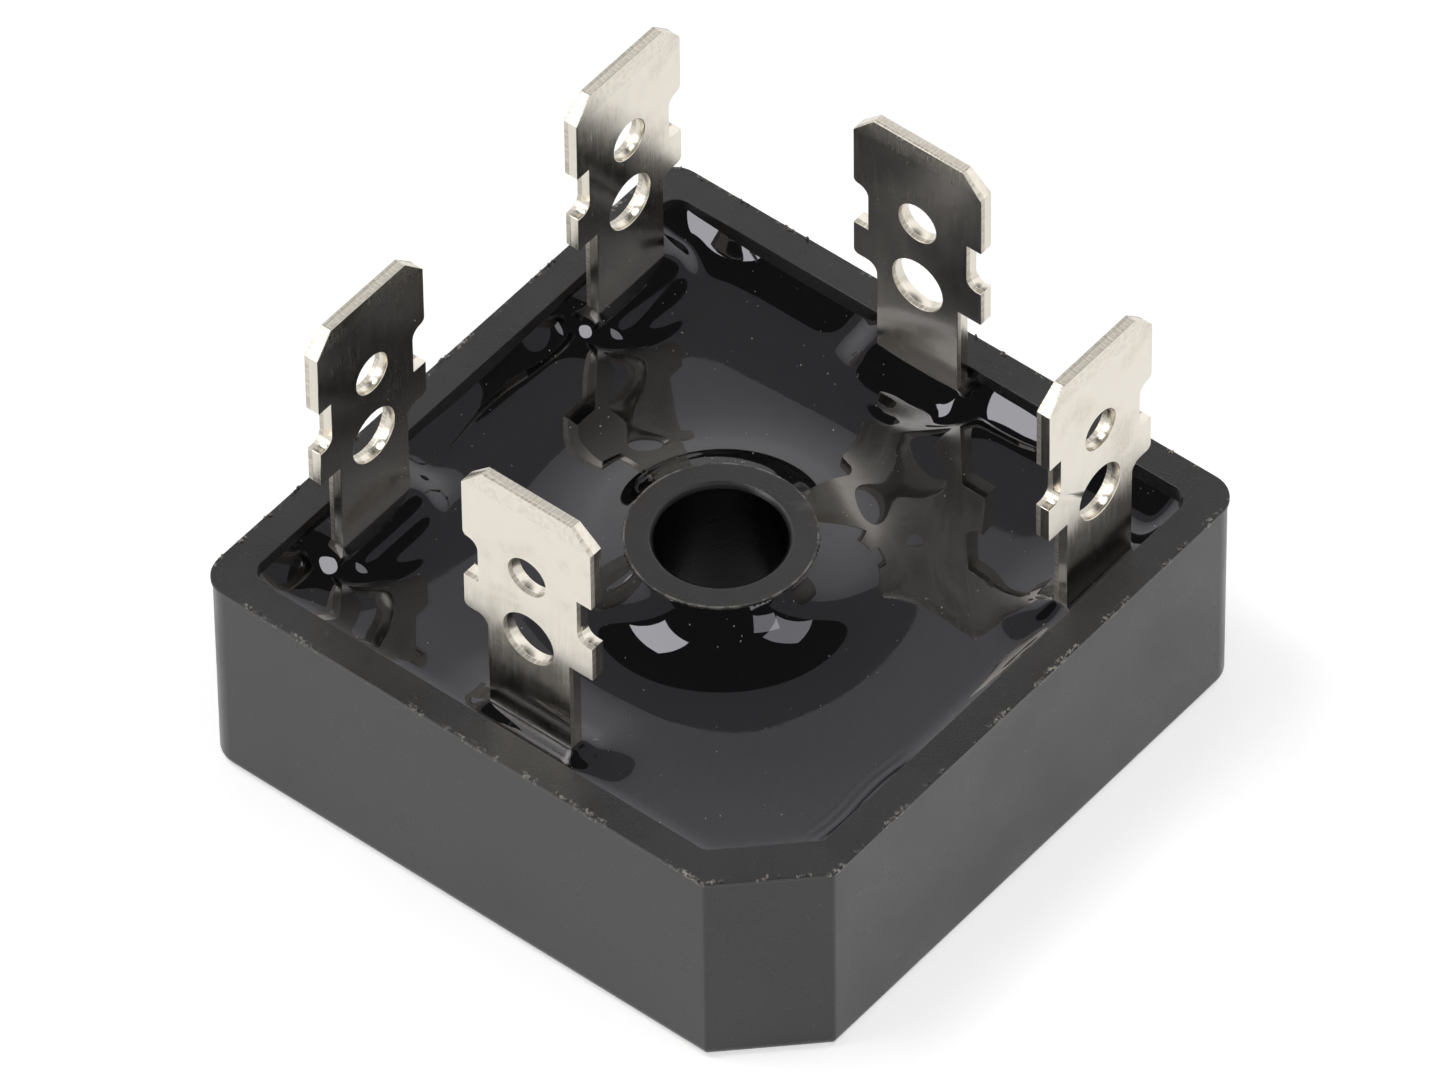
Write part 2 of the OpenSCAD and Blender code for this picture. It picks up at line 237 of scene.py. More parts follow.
@dataclass(frozen=True)
class MouldedThermoset:
    """Glass-filled thermoset, moulded in a spark-eroded tool: matte charcoal, fine dull grain.

    The resin itself is almost black, and its dull skin gives the eye a charcoal sheen. Filler
    shows as faint pale specks, and the thin flash at the rim has broken off in grey chips.
    """

    tone: str = "#1a1819"
    pale_tone: str = "#272526"
    chip_and_highlight_tone: str = "#b3aea6"
    scuff_tone: str = "#5b5146"
    bore_shade_tone: str = "#0a0a0b"
    roughness: float = 0.3
    ior: float = 1.53
    gloss: float = 0.5
    bore_shade_gloss: float = 0.12
    grain_mm: float = 0.09
    cloud_mm: float = 4.5
    rim_width_mm: float = 0.2
    rim_depths_mm: tuple[float, float] = (0.22, 0.05)
    line_inset_mm: float = 0.03
    line_widths_mm: tuple[float, float] = (0.08, 0.03)
    bore_shade_edge_mm: float = 0.15
    relief_mm: float = 0.03
    scuff_strength: float = 0.6
    specks: Patches = Patches(0.16, 1.0, 0.5, 0.68, 0.76, 0.0, 0.3)
    tears: Patches = Patches(2.0, 4.0, 0.6, 0.5, 0.6)
    chips: Patches = Patches(0.24, 3.0, 0.7, 0.48, 0.6)
    ring_highlight_gaps: Patches = Patches(0.7, 4.0, 0.7, 0.42, 0.6, 0.04, 0.5)
    rubs: Patches = Patches(1.6, 5.0, 0.7, 0.6, 0.7)
    flecks: Patches = Patches(0.3, 3.0, 0.7, 0.54, 0.64)

    def build(self, half: float, top: float, tube: float, mouth: float) -> bpy.types.Material:
        """Build the material for a square moulding with a tube in its middle.

        Args:
            half: Half of the moulding's width in metres, without the flash.
            top: Height of the rim in metres.
            tube: Outer radius of the tube in metres.
            mouth: Radius of the tube's mouth in metres.

        Returns:
            The finished material.
        """
        material, tree, place = blank_material("moulded_thermoset")
        axes = add(tree, Kind.SPLIT, place)
        wide, deep = (add(tree, Kind.MATH, axis, operation="ABSOLUTE") for axis in axes.outputs[:2])
        reach = add(tree, Kind.MATH, wide, deep, **LARGER)
        flat = add(tree, Kind.VECTOR, place, (1, 1, 0), **TIMES)
        radius = add(tree, Kind.VECTOR, flat, operation="LENGTH")

        cloud = add(tree, Kind.NOISE, place, per_grain(self.cloud_mm), 4.0, 0.55)
        grain = add(tree, Kind.NOISE, place, per_grain(self.grain_mm), 2.0, 0.55)
        tint = add(tree, Kind.RANGE, cloud, 0.35, 0.65, **SMOOTH)
        specks = self.specks.build(tree, place)

        # Broken flash: pale where the skin has torn away along the outer edge of the rim.
        outer = add(tree, Kind.RANGE, reach, half - self.rim_width_mm * MM, half, **SMOOTH)
        band = [top - depth * MM for depth in self.rim_depths_mm]
        high = add(tree, Kind.RANGE, axes.outputs[2], *band, **SMOOTH)
        rim = add(tree, Kind.MATH, outer, high, **TIMES)
        chips = self.chips.build(tree, place)
        torn = add(tree, Kind.MATH, chips, self.tears.build(tree, place), **TIMES)
        broken = add(tree, Kind.MATH, rim, torn, **TIMES)

        # Painted highlight: the tube's top outer edge gets a thin pale line in the chip tone, with gaps.
        ring = add(tree, Kind.MATH, radius, tube - self.line_inset_mm * MM, operation="SUBTRACT")
        ring = add(tree, Kind.MATH, ring, operation="ABSOLUTE")
        ring = add(tree, Kind.RANGE, ring, *(width * MM for width in self.line_widths_mm), **SMOOTH)
        ring = add(tree, Kind.MATH, ring, high, **TIMES)
        painted_ring_highlight = add(tree, Kind.MATH, ring, self.ring_highlight_gaps.build(tree, place), **TIMES)
        pale = add(tree, Kind.MATH, broken, painted_ring_highlight, **LARGER)

        # Scuffs on the walls, and painted shade that keeps the bore dark: a near-black colour inside the
        # mouth.
        scuff = add(tree, Kind.MATH, self.rubs.build(tree, place), self.flecks.build(tree, place), **TIMES)
        scuff = add(tree, Kind.MATH, scuff, self.scuff_strength, **TIMES)
        bore_shade = add(tree, Kind.RANGE, radius, mouth, mouth - self.bore_shade_edge_mm * MM, **SMOOTH)
        tones = (self.pale_tone, self.scuff_tone, self.chip_and_highlight_tone, self.scuff_tone, self.bore_shade_tone)
        colour = layered(tree, self.tone, *zip((tint, specks, pale, scuff, bore_shade), tones))

        # Handled skin is a little smoother in clouds, and broken chips and the painted highlight on the tube
        # are dull.
        sheen = add(tree, Kind.RANGE, cloud, *MIDDLE, self.roughness - 0.06, self.roughness + 0.08, **SMOOTH)
        rough = add(tree, Kind.MATH, sheen, add(tree, Kind.MATH, pale, 0.3, **TIMES), use_clamp=True, **PLUS)
        pits = add(tree, Kind.MATH, grain, 0.6, **TIMES)
        torn = add(tree, Kind.MATH, add(tree, Kind.MATH, broken, chips, **TIMES), 4.0, **TIMES)
        relief = add(tree, Kind.MATH, pits, torn, **PLUS)
        bump = add(tree, Kind.BUMP, 0.35, self.relief_mm * MM, named={"Height": relief})
        # Painted shade also takes most of the gloss out of the bore, so that it shows little reflection.
        gloss = {"Specular IOR Level": add(tree, Kind.RANGE, bore_shade, 0.0, 1.0, self.gloss, self.bore_shade_gloss)}
        shader = add(tree, Kind.SHADER, colour, 0.0, rough, self.ior, None, bump, named=gloss)
        add(tree, Kind.OUTPUT, shader)
        return material


@dataclass(frozen=True)
class CastEpoxy:
    """Black epoxy poured as a liquid and cured in place: mirror-smooth, with a little lint in it."""

    tone: str = "#080809"
    lint_tone: str = "#1d1b19"
    glint_tone: str = "#f4f4fc"
    roughness: float = 0.015
    ior: float = 1.55
    haze_mm: float = 3.0
    ripple_mm: float = 0.6
    ripple_depth_mm: float = 0.004
    lint: Patches = Patches(0.5, 6.0, 0.75, 0.66, 0.78)

    def build(self) -> bpy.types.Material:
        """Build the material.

        Returns:
            The finished material.
        """
        material, tree, place = blank_material("cast_epoxy")
        lint = self.lint.build(tree, place)
        colour = layered(tree, self.tone, (lint, self.lint_tone))
        haze = add(tree, Kind.NOISE, place, per_grain(self.haze_mm), 3.0, 0.55)
        rough = add(tree, Kind.RANGE, haze, 0.4, 0.7, self.roughness, self.roughness + 0.03, **SMOOTH)
        ripple = add(tree, Kind.NOISE, place, per_grain(self.ripple_mm), 2.0, 0.5)
        bump = add(tree, Kind.BUMP, 0.1, self.ripple_depth_mm * MM, named={"Height": ripple})
        glint = {"Specular Tint": linear(self.glint_tone)}
        shader = add(tree, Kind.SHADER, colour, 0.0, rough, self.ior, None, bump, named=glint)
        add(tree, Kind.OUTPUT, shader)
        return material


@dataclass(frozen=True)
class NickelPlatedBrass:
    """Half-hard brass strip, stamped and then nickel plated: satin warm white on the faces.

    The stamped edges are part burnished and part torn, and the coined lead-in has a coarse grain.
    """

    tone: str = "#dcd6cb"
    stain_tone: str = "#c2bbae"
    edge_tone: str = "#d6d0c4"
    torn_tone: str = "#aaa399"
    roughness: float = 0.2
    torn_roughness: float = 0.45
    line_mm: float = 0.12
    shear_mm: float = 0.11
    grit_mm: float = 0.1
    cloud_mm: float = 2.4
    lead_in_mm: tuple[float, float] = (0.92, 0.84)
    relief_mm: float = 0.02
    line_stretch: float = 0.06
    shear_stretch: float = 0.05
    coining: Patches = Patches(0.2, 4.0, 0.7, 0.45, 0.6)
    spots: Patches = Patches(0.35, 3.0, 0.7, 0.66, 0.74, 0.0, 0.3)

    def build(
        self, name: str, facing: Facing, centre: Vector, thickness: float, tip: float
    ) -> bpy.types.Material:
        """Build the material for one blade.

        Args:
            name: Name of the blade.
            facing: Axis of the wide faces.
            centre: Middle of the blade in metres.
            thickness: Thickness of the strip in metres.
            tip: Height of the blade's tip in metres.

        Returns:
            The finished material.
        """
        material, tree, place = blank_material(f"nickel_plated_brass_{name}")
        centred = add(tree, Kind.MAPPING, place, -centre)
        axes = add(tree, Kind.SPLIT, centred)
        normal = add(tree, Kind.SPLIT, add(tree, Kind.SURFACE).outputs["Normal"])
        flat = add(tree, Kind.MATH, normal.outputs[facing.value], operation="ABSOLUTE")
        edge = add(tree, Kind.RANGE, flat, 0.9, 0.55, **SMOOTH)

        # Rolling lines run up the strip, and shear lines cross the edge from face to face.
        shear = [1.0, 1.0, 1.0]
        shear[facing.value] = self.shear_stretch
        along = add(tree, Kind.MAPPING, centred, named={"Scale": (1.0, 1.0, self.line_stretch)})
        across = add(tree, Kind.MAPPING, centred, named={"Scale": shear})
        rolled = add(tree, Kind.NOISE, along, per_grain(self.line_mm), 3.0, 0.55)
        sheared = add(tree, Kind.NOISE, across, per_grain(self.shear_mm), 3.0, 0.6)
        grit = add(tree, Kind.NOISE, centred, per_grain(self.grit_mm), 4.0, 0.7)
        cloud = add(tree, Kind.NOISE, centred, per_grain(self.cloud_mm), 4.0, 0.6)

        # The last third of the thickness tore off; the rest was burnished by the punch.
        depth = axes.outputs[facing.value]
        depth = add(tree, Kind.RANGE, depth, -0.1 * thickness, -0.2 * thickness, **SMOOTH)
        torn = add(tree, Kind.MATH, depth, edge, **TIMES)
        height = add(tree, Kind.SPLIT, place).outputs[2]
        lead = add(tree, Kind.RANGE, height, *(tip - down * MM for down in self.lead_in_mm), **SMOOTH)
        coined = add(tree, Kind.MATH, self.coining.build(tree, centred), lead, **TIMES)

        stain = add(tree, Kind.RANGE, cloud, 0.52, 0.75, 0.0, 0.6, **SMOOTH)
        spots = self.spots.build(tree, centred)
        scar = add(tree, Kind.RANGE, sheared, 0.42, 0.62, 0.1, 0.9, **SMOOTH)
        scar = add(tree, Kind.MATH, torn, scar, **TIMES)
        dull = add(tree, Kind.MATH, scar, add(tree, Kind.MATH, coined, 0.2, **TIMES), **LARGER)
        tones = (self.stain_tone, self.stain_tone, self.edge_tone, self.torn_tone)
        colour = layered(tree, self.tone, *zip((stain, spots, edge, dull), tones))

        # Torn metal and the lead-in are duller and coarser than the rolled faces.
        rough = add(tree, Kind.RANGE, cloud, *MIDDLE, self.roughness - 0.03, self.roughness + 0.06, **SMOOTH)
        lines = add(tree, Kind.RANGE, rolled, *MIDDLE, -0.02, 0.03, **SMOOTH)
        rough = add(tree, Kind.MATH, rough, lines, **PLUS)
        coarse = add(tree, Kind.MATH, torn, add(tree, Kind.MATH, lead, 0.12, **TIMES), **LARGER)
        extra = add(tree, Kind.MATH, coarse, self.torn_roughness - self.roughness, **TIMES)
        rough = add(tree, Kind.MATH, rough, extra, use_clamp=True, **PLUS)
        relief = add(tree, Kind.MATH, rolled, 0.12, **TIMES)
        ridges = add(tree, Kind.MATH, add(tree, Kind.MATH, sheared, edge, **TIMES), 1.1, **TIMES)
        relief = add(tree, Kind.MATH, relief, ridges, **PLUS)
        grains = add(tree, Kind.MATH, add(tree, Kind.MATH, grit, coarse, **TIMES), 2.0, **TIMES)
        relief = add(tree, Kind.MATH, relief, grains, **PLUS)
        bump = add(tree, Kind.BUMP, 0.3, self.relief_mm * MM, named={"Height": relief})
        shader = add(tree, Kind.SHADER, colour, 1.0, rough, None, None, bump)
        add(tree, Kind.OUTPUT, shader)
        return material


@dataclass(frozen=True)
class MottledFinish:
    """Even material with a fine grain, which stretch draws out along X, and soft mottling."""

    name: str
    tone: str
    mottle_tone: str
    roughness: float
    metallic: float
    grain_mm: float
    stretch: float
    dulling: float
    bump: float
    mottle: Patches

    def build(self) -> bpy.types.Material:
        """Build the material.

        Returns:
            The finished material.
        """
        material, tree, place = blank_material(self.name)
        drawn = add(tree, Kind.MAPPING, place, named={"Scale": (self.stretch, 1.0, 1.0)})
        grain = add(tree, Kind.NOISE, drawn, per_grain(self.grain_mm), 3.0, 0.55)
        colour = layered(tree, self.tone, (self.mottle.build(tree, place), self.mottle_tone))
        limits = (self.roughness - 0.05, self.roughness + self.dulling)
        rough = add(tree, Kind.RANGE, grain, *MIDDLE, *limits, **SMOOTH)
        bump = add(tree, Kind.BUMP, self.bump, 0.01 * MM, named={"Height": grain})
        shader = add(tree, Kind.SHADER, colour, self.metallic, rough, None, None, bump)
        add(tree, Kind.OUTPUT, shader)
        return material


@dataclass(frozen=True)
class SheetMetal(MottledFinish):
    """Rolled or stamped sheet, bare: fine lines along the rolling direction and soft stains."""

    metallic: float = 1.0
    grain_mm: float = 0.1
    stretch: float = 0.04
    dulling: float = 0.08
    bump: float = 0.25
    mottle: Patches = Patches(3.5, 5.0, 0.65, 0.45, 0.75)


@dataclass(frozen=True)
class DenseCeramic(MottledFinish):
    """Unglazed alumina or passivated silicon: fine-grained and even, with faint mottling."""

    metallic: float = 0.0
    grain_mm: float = 0.12
    stretch: float = 1.0
    dulling: float = 0.05
    bump: float = 0.2
    mottle: Patches = Patches(1.8, 4.0, 0.55, 0.4, 0.7)


@dataclass(frozen=True)
class LooseGrit:
    """Crumbs and dust: dull, pale, each grain a little different."""

    name: str
    tone: str
    dark_tone: str
    grain_mm: float = 0.05
    variety: Patches = Patches(0.7, 2.0, 0.5, 0.4, 0.6)

    def build(self) -> bpy.types.Material:
        """Build the material.

        Returns:
            The finished material.
        """
        material, tree, place = blank_material(self.name)
        variety = self.variety.build(tree, place)
        colour = layered(tree, self.tone, (variety, self.dark_tone))
        fine = add(tree, Kind.NOISE, place, per_grain(self.grain_mm), 2.0, 0.5)
        rough = add(tree, Kind.RANGE, fine, *MIDDLE, 0.6, 0.9, **SMOOTH)
        shader = add(tree, Kind.SHADER, colour, 0.0, rough)
        add(tree, Kind.OUTPUT, shader)
        return material


@dataclass(frozen=True)
class StudioCard:
    """White paper or grey card: evenly lit, and as pale in reflections as it is to the eye.

    It glows by lift on the floor and by wall_lift on the wall, and less by the share fade at its
    top. Its pattern is the uneven pulp, because single fibres are too fine to show.
    """

    name: str
    tone: str
    fibre_tone: str
    lift: float
    wall_lift: float
    fade: float
    pulp_mm: float = 6.0
    wall_heights: tuple[float, float] = (0.05, 0.6)
    fade_heights: tuple[float, float] = (1.05, 1.38)

    def build(self) -> bpy.types.Material:
        """Build the material.

        Returns:
            The finished material.
        """
        material, tree, place = blank_material(self.name)
        pulp = add(tree, Kind.RANGE, add(tree, Kind.NOISE, place, per_grain(self.pulp_mm), 0.0), *MIDDLE)
        colour = layered(tree, self.tone, (pulp, self.fibre_tone))
        path = add(tree, Kind.LIGHT_PATH)
        seen = add(tree, Kind.MATH, path.outputs["Is Camera Ray"], path.outputs["Is Glossy Ray"], **LARGER)
        seen = add(tree, Kind.MATH, seen, path.outputs["Is Transmission Ray"], **LARGER)
        height = add(tree, Kind.SPLIT, place).outputs[2]
        glow = add(tree, Kind.RANGE, height, *self.wall_heights, self.lift, self.wall_lift, **SMOOTH)
        fade = add(tree, Kind.RANGE, height, *self.fade_heights, 1.0, self.fade)
        glow = add(tree, Kind.MATH, glow, fade, **TIMES)
        shader = add(tree, Kind.SHADER, colour, 0.0, 0.9, named={
            "Specular IOR Level": 0.2,
            "Emission Color": (1, 1, 1, 1),
            "Emission Strength": add(tree, Kind.MATH, seen, glow, **TIMES),
        })

        # The eye passes through the back of the card, so that the part's underside can be seen.
        behind = add(tree, Kind.SURFACE).outputs["Backfacing"]
        add(tree, Kind.OUTPUT, add(tree, Kind.BLEND, behind, shader, add(tree, Kind.CLEAR)))
        return material


def link(name: str, mesh: bpy.types.Mesh) -> bpy.types.Object:
    """Make an object for a mesh and put it in the scene.

    Args:
        name: Name of the object.
        mesh: Its mesh, in the shared frame.

    Returns:
        The object, at the origin.
    """
    item = bpy.data.objects.new(name, mesh)
    bpy.context.scene.collection.objects.link(item)
    return item


def settle(item: bpy.types.Object, material: bpy.types.Material | None) -> None:
    """Turn an object's modifiers into its mesh and hand it over as a finished piece.

    Args:
        item: The object.
        material: Its material, or None where its tree has already set one.
    """
    graph = bpy.context.evaluated_depsgraph_get()
    mesh = bpy.data.meshes.new_from_object(item.evaluated_get(graph))
    item.modifiers.clear()
    item.data = mesh
    mesh.name = item.name
    if material is not None:
        mesh.materials.clear()
        mesh.materials.append(material)
    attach(item, "root")
    log.info("%s: %d faces", item.name, len(mesh.polygons))


def rounded_copy(node: str, name: str, width: float, flat: float, upright: float = 0.0) -> bpy.types.Object:
    """Copy a solid's mesh, weld it and round its edges a little, as a tool or a press leaves them.

    Args:
        node: Name of the solid.
        name: Name of the new piece.
        width: Width of the rounding in metres.
        flat: Largest angle in degrees between faces that are left as they are.
        upright: Width of the rounding on straight outer upright edges in metres, or 0 for the same.

    Returns:
        The new object, with its rounding as a live modifier.
    """
    weld, level = 1e-7, math.radians(0.5)
    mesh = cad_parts[node].data.copy()
    work = bmesh.new()
    work.from_mesh(mesh)
    bmesh.ops.remove_doubles(work, verts=work.verts, dist=weld)
    bmesh.ops.dissolve_limit(work, angle_limit=level, verts=work.verts, edges=work.edges)
    widest = max(width, upright)
    weights = work.edges.layers.float.new("bevel_weight_edge")
    low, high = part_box(node)
    tall, outside = 0.6 * (high.z - low.z), 0.7 * high.x
    for edge in work.edges:
        if edge.is_manifold and edge.calc_face_angle(0.0) > math.radians(flat):
            start, end = (vert.co for vert in edge.verts)
            outer = abs(end.z - start.z) > tall and max(map(abs, start.xy)) > outside
            edge[weights] = (upright if upright and outer else width) / widest
    work.to_mesh(mesh)
    work.free()
    item = link(name, mesh)
    bevel = item.modifiers.new("rounding", "BEVEL")
    bevel.width = widest
    bevel.segments = 3 if upright else 2
    bevel.limit_method = "WEIGHT"
    bevel.use_clamp_overlap = True
    item.modifiers.new("even_faces", "WEIGHTED_NORMAL").weight = 100
    mesh.shade_smooth()
    return item


@dataclass
class Scatter:
    """Grains strewn over a surface or along an edge by one node tree.

    The amount is grains per metre of edge or per square metre of surface, where a patch covers it.
    Each grain is stretched to a random size between the slimmest and the fullest.
    """

    name: str
    amount: float
    grain_mm: float
    seed: int
    along_edges: bool = False
    jitter_mm: float = 0.0
    patch_mm: float = 3.0
    cover: float = 0.5
    slimmest: tuple[float, float, float] = (0.25, 0.2, 0.2)
    fullest: tuple[float, float, float] = (1.5, 1.0, 0.7)
    whole_turn: float = 6.28
    least_rise: float = -0.2

    def tree(self) -> tuple[Any, dict[str, str]]:
        """Build the node tree.

        Returns:
            The tree, and the identifier of each named input.
        """
        tree = bpy.data.node_groups.new(f"{self.name}_tree", "GeometryNodeTree")
        face = tree.interface
        face.new_socket("Geometry", in_out="OUTPUT", socket_type="NodeSocketGeometry")
        face.new_socket("Geometry", in_out="INPUT", socket_type="NodeSocketGeometry")
        kinds = dict.fromkeys(("Amount", "Grain", "Jitter", "Patch", "Cover"), "NodeSocketFloat")
        kinds |= dict.fromkeys(("Lowest", "Highest"), "NodeSocketVector")
        kinds["Material"] = "NodeSocketMaterial"
        ids = {}
        for key, kind in kinds.items():
            ids[key] = face.new_socket(key, in_out="INPUT", socket_type=kind).identifier
        source = add(tree, Kind.GROUP_IN).outputs
        if self.along_edges:
            curve = add(tree, Kind.TO_CURVE, source["Geometry"])
            step = add(tree, Kind.MATH, 1.0, source["Amount"], operation="DIVIDE")
            points = add(tree, Kind.CURVE_POINTS, curve, mode="LENGTH", named={"Length": step})
        else:
            up = add(tree, Kind.SPLIT, add(tree, Kind.NORMAL))
            open_face = add(tree, Kind.COMPARE, up.outputs[2], self.least_rise, **ABOVE)
            points = add(tree, Kind.FACE_POINTS, source["Geometry"], open_face, source["Amount"], self.seed)
        place = add(tree, Kind.POSITION)
        scale = add(tree, Kind.MATH, 1.0, source["Patch"], operation="DIVIDE")
        patch = add(tree, Kind.NOISE, place, scale, 3.0)
        bare = add(tree, Kind.MATH, 1.0, source["Cover"], operation="SUBTRACT")
        keep = add(tree, Kind.COMPARE, patch, bare, **ABOVE)
        vector = {"data_type": "FLOAT_VECTOR"}
        shake = add(tree, Kind.RANDOM, (-1, -1, -1), (1, 1, 1), named={"Seed": self.seed + 1}, **vector)
        shift = add(tree, Kind.VECTOR, shake, operation="SCALE", named={"Scale": source["Jitter"]})
        moved = add(tree, Kind.MOVE, points, named={"Offset": shift})
        grain = add(tree, Kind.GRAIN, source["Grain"], 1)
        spread = add(tree, Kind.RANDOM, self.slimmest, self.fullest, named={"Seed": self.seed + 2}, **vector)
        turns = (self.whole_turn,) * 3
        turn = add(tree, Kind.RANDOM, (0, 0, 0), turns, named={"Seed": self.seed + 3}, **vector)
        strewn = add(tree, Kind.INSTANCES, moved, named={
            "Selection": keep, "Instance": grain, "Rotation": turn, "Scale": spread,
        })
        real = add(tree, Kind.REALIZE, strewn)
        low = add(tree, Kind.VECTOR, place, source["Lowest"], operation="MAXIMUM")
        held = add(tree, Kind.VECTOR, low, source["Highest"], operation="MINIMUM")
        fitted = add(tree, Kind.MOVE, real, named={"Position": held})
        dressed = add(tree, Kind.DRESS, fitted, named={"Material": source["Material"]})
        add(tree, Kind.GROUP_OUT, dressed)
        return tree, ids

    def build(self, host: bpy.types.Mesh, material: bpy.types.Material, slot: str) -> bpy.types.Object:
        """Strew the grains over a host mesh and finish them as one piece.

        Args:
            host: Mesh that carries the grains.
            material: Material of the grains.
            slot: The record's material slot. Not used.

        Returns:
            The finished piece.
        """
        item = link(self.name, host)
        tree, ids = self.tree()
        modifier = item.modifiers.new("strewn", "NODES")
        modifier.node_group = tree
        low, high = SOLID_BOUNDS
        given = {
            "Amount": float(self.amount),
            "Grain": self.grain_mm * MM,
            "Jitter": self.jitter_mm * MM,
            "Patch": self.patch_mm * MM,
            "Cover": self.cover,
            "Lowest": tuple(low),
            "Highest": tuple(high),
            "Material": material,
        }
        for key, value in given.items():
            modifier[ids[key]] = value
        item.update_tag()
        bpy.context.view_layer.update()
        settle(item, None)
        return item


@dataclass
class MouldedCase:
    """The square case with its chamfered corner, mounting tube and rim flash."""

    flash: float = 0.08 * MM
    corner_leg: float = 3.5 * MM
    corner_radius: float = 1.25 * MM
    tube_radius: float = TUBE_RADIUS
    mouth_radius: float = 2.8 * MM
    edge: float = 0.035 * MM
    upright_edge: float = 0.3 * MM
    sharpest: float = 35
    arc_steps: int = 8
    finish: MouldedThermoset = field(default_factory=MouldedThermoset)

    def __post_init__(self) -> None:
        """Take the outer size from the solid."""
        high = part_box("case")[1]
        self.half = high.x - self.flash
        self.top = high.z

    def rim_path(self) -> bpy.types.Mesh:
        """Trace the outer top edge of the case.

        Returns:
            A mesh of edges only, one closed loop.
        """
        half, leg, radius = self.half, self.corner_leg, self.corner_radius
        places: list[tuple[float, float, float]] = []
        for turn, (sx, sy) in enumerate(((1, 1), (-1, 1), (-1, -1))):
            for step in range(self.arc_steps + 1):
                angle = math.radians(90 * turn + 90 * step / self.arc_steps)
                places.append((sx * (half - radius) + radius * math.cos(angle),
                               sy * (half - radius) + radius * math.sin(angle), self.top))
        places += [(half - leg, -half, self.top), (half, -half + leg, self.top)]
        mesh = bpy.data.meshes.new("rim_path")
        mesh.from_pydata(places, [(i, (i + 1) % len(places)) for i in range(len(places))], [])
        return mesh

    def build(self) -> None:
        """Build the rounded case and the crumbs of flash on its rim."""
        material = self.finish.build(self.half, self.top, self.tube_radius, self.mouth_radius)
        body = rounded_copy("case", "moulded_case", self.edge, self.sharpest, self.upright_edge)
        settle(body, material)
        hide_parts("case")
        grit = LooseGrit("broken_flash", "#a39e97", "#595654").build()
        crumbs = Scatter("rim_flash", 12_000, 0.1, 11, True, jitter_mm=0.06, patch_mm=1.1, cover=0.42)
        crumbs.build(self.rim_path(), grit, "case_plastic")


@dataclass
class Blade:
    """One stamped terminal: blade, stop tabs, leg and foot.

    The resin has crept up it by climb, steeply from foot inwards, and bulges by dome around it.
    """

    node: str
    facing: Facing
    climb: float
    foot: float
    dome: float
    edge: float = 0.03 * MM
    sharpest: float = 30
    tip_length: float = 5 * MM

    def build(self, finish: NickelPlatedBrass) -> bpy.types.Object:
        """Build the blade with rounded edges.

        Args:
            finish: Its plating.

        Returns:
            The finished piece.
        """
        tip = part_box(self.node)[1].z
        name = f"blade_{self.node.removeprefix('terminal_')}"
        blade = rounded_copy(self.node, name, self.edge, self.sharpest)
        thickness = float(np.ptp(self.upper_points()[:, self.facing.value]))
        settle(blade, finish.build(self.node, self.facing, self.middle(), thickness, tip))
        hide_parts(self.node)
        return blade

    def upper_points(self) -> np.ndarray:
        """Give the solid's corners near the tip."""
        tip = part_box(self.node)[1].z
        points = np.array([v.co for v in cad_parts[self.node].data.vertices])
        return points[points[:, 2] > tip - self.tip_length]

    def middle(self) -> Vector:
        """Give the middle of the upright strip near its tip."""
        points = self.upper_points()
        return Vector((points.min(0) + points.max(0)) / 2)


@dataclass
class Meniscus:
    """Shape of resin that has crept up one upright surface.

    Its slope falls from steep degrees to level round the distance turn, as a wet edge's does.
    """

    steep: float
    turn: float
    spread: float
    reach: float = 9.0 * MM
    samples: int = 600

    def __post_init__(self) -> None:
        """Add up the slope from far away inwards."""
        self.gaps = np.linspace(0.0, self.reach, self.samples)
        slope = np.tan(np.radians(self.steep) / (1 + np.exp((self.gaps - self.turn) / self.spread)))
        step = self.gaps[1] - self.gaps[0]
        self.rise = np.cumsum(slope[::-1])[::-1] * step

    def height(self, gap: np.ndarray) -> np.ndarray:
        """Give the rise above level at each distance in metres."""
        return np.interp(np.maximum(gap, 0.0), self.gaps, self.rise)


def inside(distance: np.ndarray) -> np.ndarray:
    """Fall smoothly from one to zero as a distance passes zero."""
    return 0.5 * (1 - np.tanh(distance))


@dataclass
class StreakyRun:
    """Resin that ran down beside the +X wall and set there: a shallow trough with fine ridges.

    Its depth and its ridges are in millimetres, everything else in metres.
    """

    front: float = 9.4 * MM
    back: float = 3.6 * MM
    front_fade: float = 0.2 * MM
    back_fade: float = 0.25 * MM
    trough_mm: float = 0.1
    trough_gap: float = 0.45 * MM
    trough_width: float = 0.3 * MM
    ridge_mm: float = 0.03
    ridge_pitch: float = 0.06 * MM
    ridge_reach: float = 0.9 * MM
    sway: float = 1.3
    sway_pitch: float = 0.7 * MM

    def height(self, gap: np.ndarray, y: np.ndarray) -> np.ndarray:
        """Give the height of the run over the smooth resin.

        Args:
            gap: Distance of each point from the wall in metres.
            y: Y of each point in metres.

        Returns:
            Height at each point in millimetres.
        """
        starts = 1 + np.exp((y + self.back) / self.back_fade)
        ends = 1 + np.exp(-(y + self.front) / self.front_fade)
        trough = -self.trough_mm * np.exp(-(((gap - self.trough_gap) / self.trough_width) ** 2))
        waves = np.sin(gap / self.ridge_pitch + self.sway * np.sin(y / self.sway_pitch))
        ridges = self.ridge_mm * waves * np.exp(-((gap / self.ridge_reach) ** 2))
        return 1 / starts / ends * (trough + ridges)


